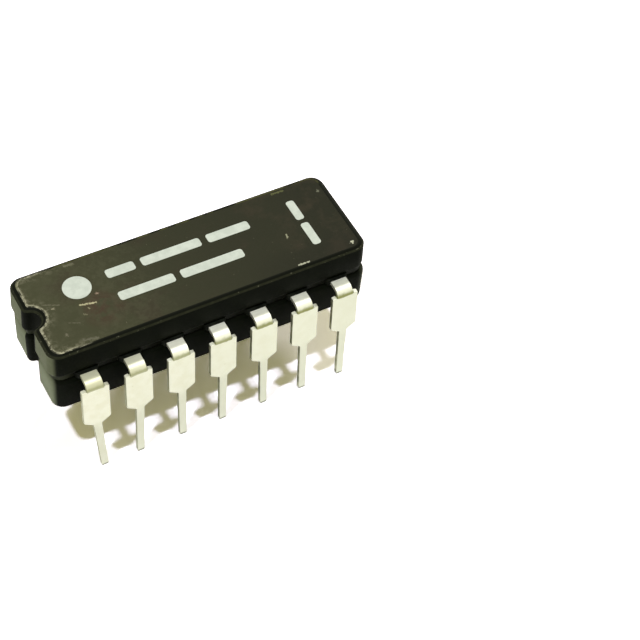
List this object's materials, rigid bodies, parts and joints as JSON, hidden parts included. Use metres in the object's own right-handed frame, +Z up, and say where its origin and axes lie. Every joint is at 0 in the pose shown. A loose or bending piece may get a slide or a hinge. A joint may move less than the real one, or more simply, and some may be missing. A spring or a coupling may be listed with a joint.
{
  "type": "ceramic dual in-line package",
  "caption": "Ceramic dual in-line integrated circuit: two glass-sealed ceramic halves round a die on a bonded lead frame, with bent tinned leads in two rows.",
  "frame": {"origin": "middle of the footprint in the plane of the lead tips, which is the bottom centre of the part's box", "axes": "+X along the body away from the notched end, +Y across from the row of leads 1 to 7 to the row of leads 8 to 14, +Z up out of the top face"},
  "size_m": [0.0194, 0.009, 0.009],
  "materials": {
    "ceramic_cap": "matt pressed",
    "ceramic_base": "matt pressed",
    "sealing_glass": "satin, opaque",
    "gold_layer": "satin",
    "silicon": "polished, opaque",
    "tinned_lead": "matt tin plating",
    "bond_wire": "drawn"
  },
  "bodies": {
    "root": {"cap": "ceramic_cap", "base": "ceramic_base", "seal_glass": "sealing_glass", "die_attach": "gold_layer", "die": "silicon", "lead_1": "tinned_lead", "lead_2": "tinned_lead", "lead_3": "tinned_lead", "lead_4": "tinned_lead", "lead_5": "tinned_lead", "lead_6": "tinned_lead", "lead_7": "tinned_lead", "lead_8": "tinned_lead", "lead_9": "tinned_lead", "lead_10": "tinned_lead", "lead_11": "tinned_lead", "lead_12": "tinned_lead", "lead_13": "tinned_lead", "lead_14": "tinned_lead", "bond_wire_2": "bond_wire", "bond_wire_3": "bond_wire", "bond_wire_4": "bond_wire", "bond_wire_5": "bond_wire", "bond_wire_6": "bond_wire", "bond_wire_7": "bond_wire", "bond_wire_9": "bond_wire", "bond_wire_10": "bond_wire", "bond_wire_11": "bond_wire", "bond_wire_12": "bond_wire", "bond_wire_13": "bond_wire"}
  },
  "joints": []
}
